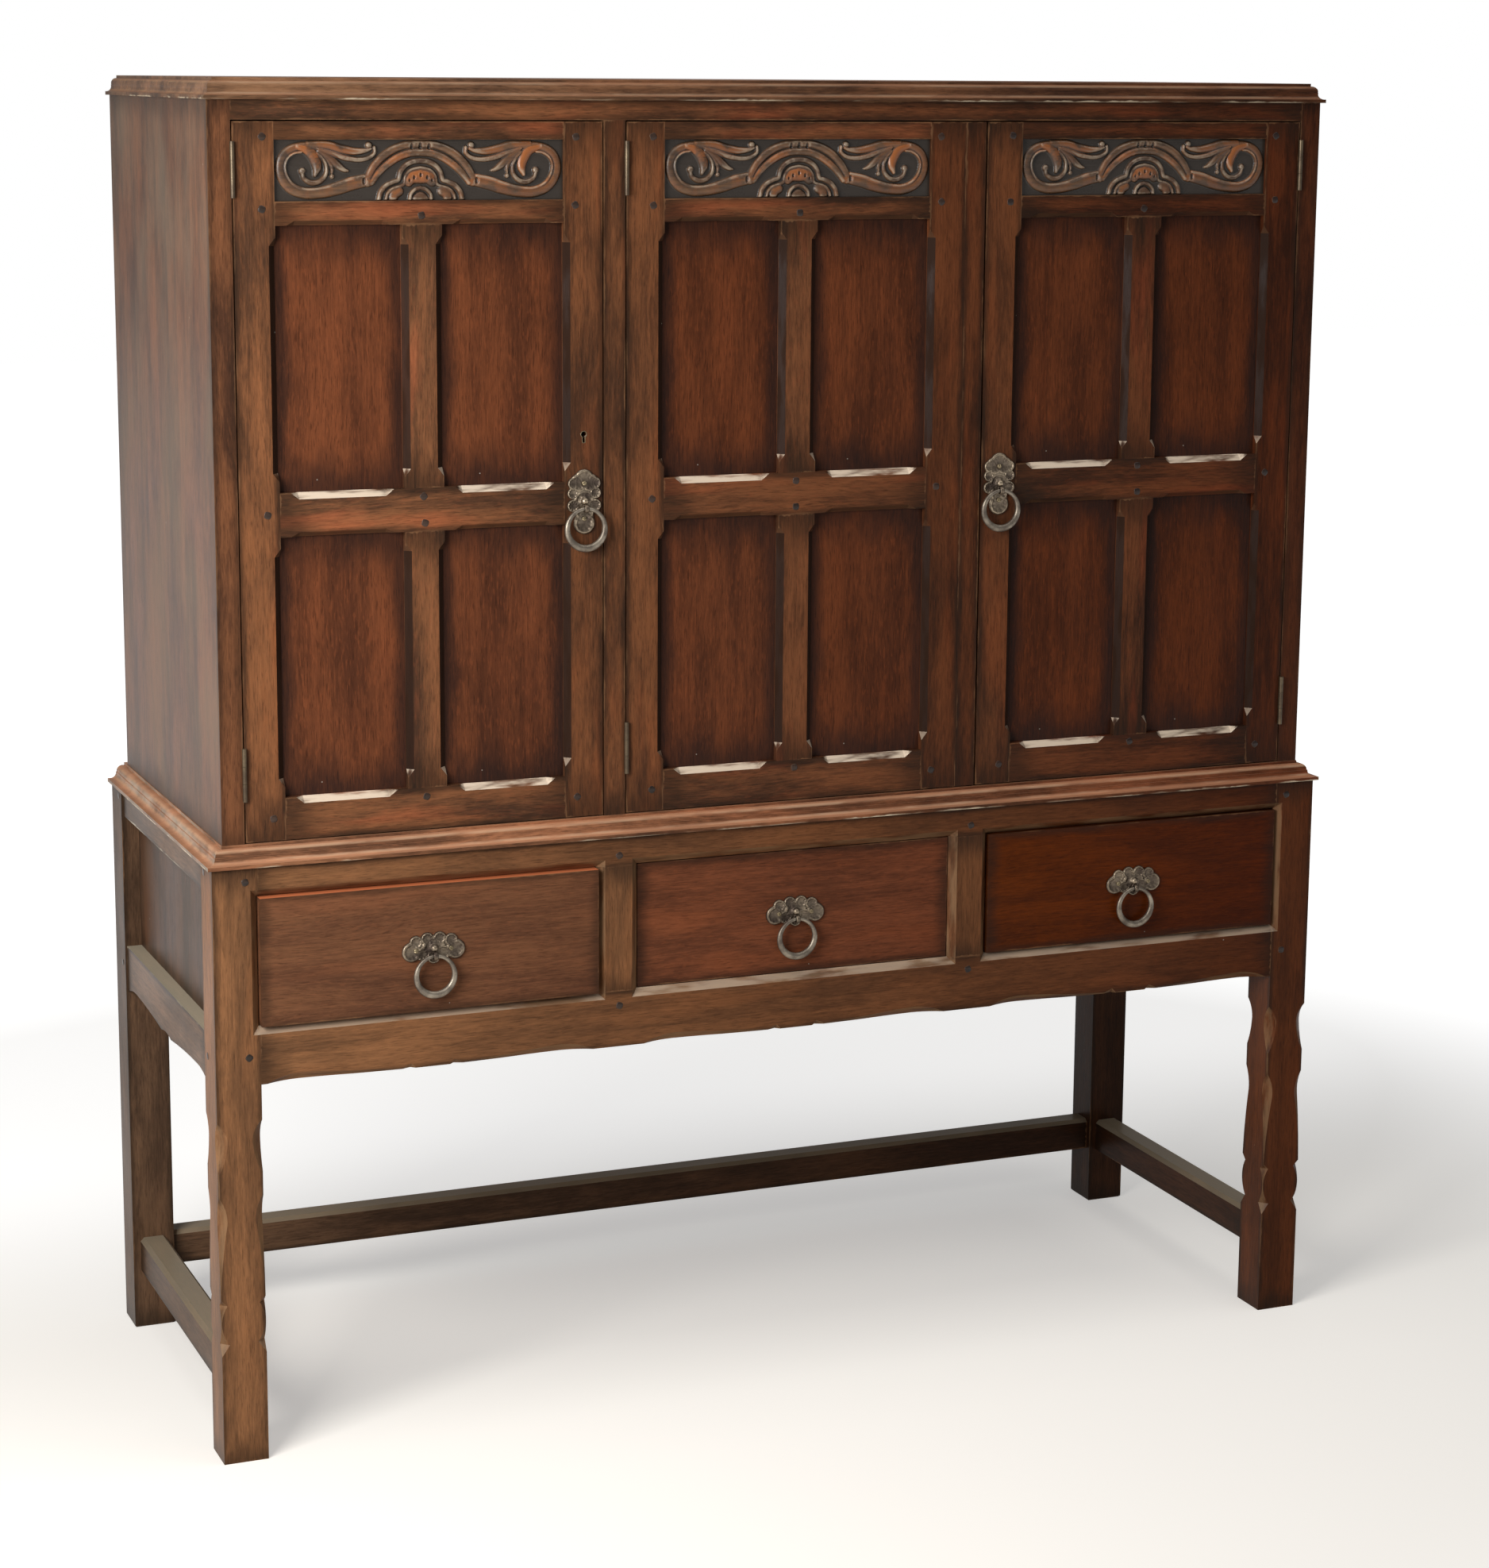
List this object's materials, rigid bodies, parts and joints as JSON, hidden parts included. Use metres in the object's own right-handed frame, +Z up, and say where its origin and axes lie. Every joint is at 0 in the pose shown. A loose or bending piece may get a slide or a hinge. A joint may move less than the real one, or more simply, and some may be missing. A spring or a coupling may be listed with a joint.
{
  "type": "court cupboard",
  "caption": "Joined oak court cupboard: a case of carved and panelled doors on a stand with drawers, gouged front legs and stretchers.",
  "frame": {"origin": "on the floor, in the middle of the cupboard's box in X and Y", "axes": "+Z up, +X to the right seen from the front, +Y towards the back"},
  "size_m": [1.372, 0.515, 1.503],
  "materials": {
    "oak_frame": "satin",
    "oak_panel": "satin",
    "oak_inside": "matte",
    "bronze": "satin",
    "iron": "satin"
  },
  "bodies": {
    "frame": {"cornice": "oak_frame", "case_top_board": "oak_frame", "case_sides": "oak_frame", "case_partition": "oak_frame", "case_floor": "oak_inside", "case_back": "oak_inside", "shelves": "oak_inside", "case_hinge_leaves": "iron", "stand_top": "oak_frame", "front_legs": "oak_frame", "back_legs": "oak_frame", "front_top_rail": "oak_frame", "front_apron": "oak_frame", "drawer_muntins": "oak_frame", "side_top_rails": "oak_frame", "side_aprons": "oak_frame", "side_panels": "oak_panel", "back_rails": "oak_frame", "back_panel": "oak_panel", "stretchers": "oak_frame", "drawer_runners": "oak_inside"},
    "door_1": {"door_1_stiles": "oak_frame", "door_1_rails": "oak_frame", "door_1_panels": "oak_panel", "door_1_frieze": "oak_panel", "door_1_hinge_leaves": "iron", "door_1_lock": "iron", "door_1_pull": "bronze"},
    "door_2": {"door_2_stiles": "oak_frame", "door_2_rails": "oak_frame", "door_2_panels": "oak_panel", "door_2_frieze": "oak_panel", "door_2_hinge_leaves": "iron", "door_2_closing_strip": "oak_frame", "door_2_bolt_staples": "iron"},
    "door_3": {"door_3_stiles": "oak_frame", "door_3_rails": "oak_frame", "door_3_panels": "oak_panel", "door_3_frieze": "oak_panel", "door_3_hinge_leaves": "iron", "door_3_pull": "bronze"},
    "drawer_1": {"drawer_1_front": "oak_frame", "drawer_1_box": "oak_inside", "drawer_1_pull": "bronze"},
    "drawer_2": {"drawer_2_front": "oak_frame", "drawer_2_box": "oak_inside", "drawer_2_pull": "bronze"},
    "drawer_3": {"drawer_3_front": "oak_frame", "drawer_3_box": "oak_inside", "drawer_3_pull": "bronze"},
    "door_1_ring": {"door_1_ring": "bronze"},
    "door_3_ring": {"door_3_ring": "bronze"},
    "drawer_1_ring": {"drawer_1_ring": "bronze"},
    "drawer_2_ring": {"drawer_2_ring": "bronze"},
    "drawer_3_ring": {"drawer_3_ring": "bronze"},
    "door_1_lock_bolt": {"door_1_lock_bolt": "iron"},
    "door_2_upper_bolt": {"door_2_upper_bolt": "iron"},
    "door_2_lower_bolt": {"door_2_lower_bolt": "iron"}
  },
  "joints": [
    {"name": "door_1_hinge", "type": "hinge", "parent": "frame", "child": "door_1", "pos_m": [-0.63925, -0.22726, 1.077], "axis": [0, 0, -1], "range_deg": [0, 100]},
    {"name": "door_2_hinge", "type": "hinge", "parent": "frame", "child": "door_2", "pos_m": [-0.20425, -0.22726, 1.077], "axis": [0, 0, -1], "range_deg": [0, 100]},
    {"name": "door_3_hinge", "type": "hinge", "parent": "frame", "child": "door_3", "pos_m": [0.63925, -0.22726, 1.077], "axis": [0, 0, 1], "range_deg": [0, 100]},
    {"name": "drawer_1_slide", "type": "slide", "parent": "frame", "child": "drawer_1", "axis": [0, -1, 0], "range_m": [-0.012, 0.3]},
    {"name": "drawer_2_slide", "type": "slide", "parent": "frame", "child": "drawer_2", "axis": [0, -1, 0], "range_m": [0, 0.3]},
    {"name": "drawer_3_slide", "type": "slide", "parent": "frame", "child": "drawer_3", "axis": [0, -1, 0], "range_m": [-0.006, 0.3]},
    {"name": "door_1_ring_swing", "type": "hinge", "parent": "door_1", "child": "door_1_ring", "pos_m": [-0.2535, -0.23247, 1.041], "axis": [-1, 0, 0], "range_deg": [0, 100]},
    {"name": "door_3_ring_swing", "type": "hinge", "parent": "door_3", "child": "door_3_ring", "pos_m": [0.2535, -0.23247, 1.041], "axis": [-1, 0, 0], "range_deg": [0, 100]},
    {"name": "drawer_1_ring_swing", "type": "hinge", "parent": "drawer_1", "child": "drawer_1_ring", "pos_m": [-0.43677, -0.25246, 0.5583], "axis": [-1, 0, 0], "range_deg": [0, 100]},
    {"name": "drawer_2_ring_swing", "type": "hinge", "parent": "drawer_2", "child": "drawer_2_ring", "pos_m": [0, -0.24047, 0.5583], "axis": [-1, 0, 0], "range_deg": [0, 100]},
    {"name": "drawer_3_ring_swing", "type": "hinge", "parent": "drawer_3", "child": "drawer_3_ring", "pos_m": [0.43677, -0.24646, 0.5583], "axis": [-1, 0, 0], "range_deg": [0, 100]},
    {"name": "door_1_lock_bolt_slide", "type": "slide", "parent": "door_1", "child": "door_1_lock_bolt", "axis": [1, 0, 0], "range_m": [0, 0.014]},
    {"name": "door_2_upper_bolt_slide", "type": "slide", "parent": "door_2", "child": "door_2_upper_bolt", "axis": [0, 0, 1], "range_m": [0, 0.012]},
    {"name": "door_2_lower_bolt_slide", "type": "slide", "parent": "door_2", "child": "door_2_lower_bolt", "axis": [0, 0, -1], "range_m": [0, 0.012]}
  ]
}
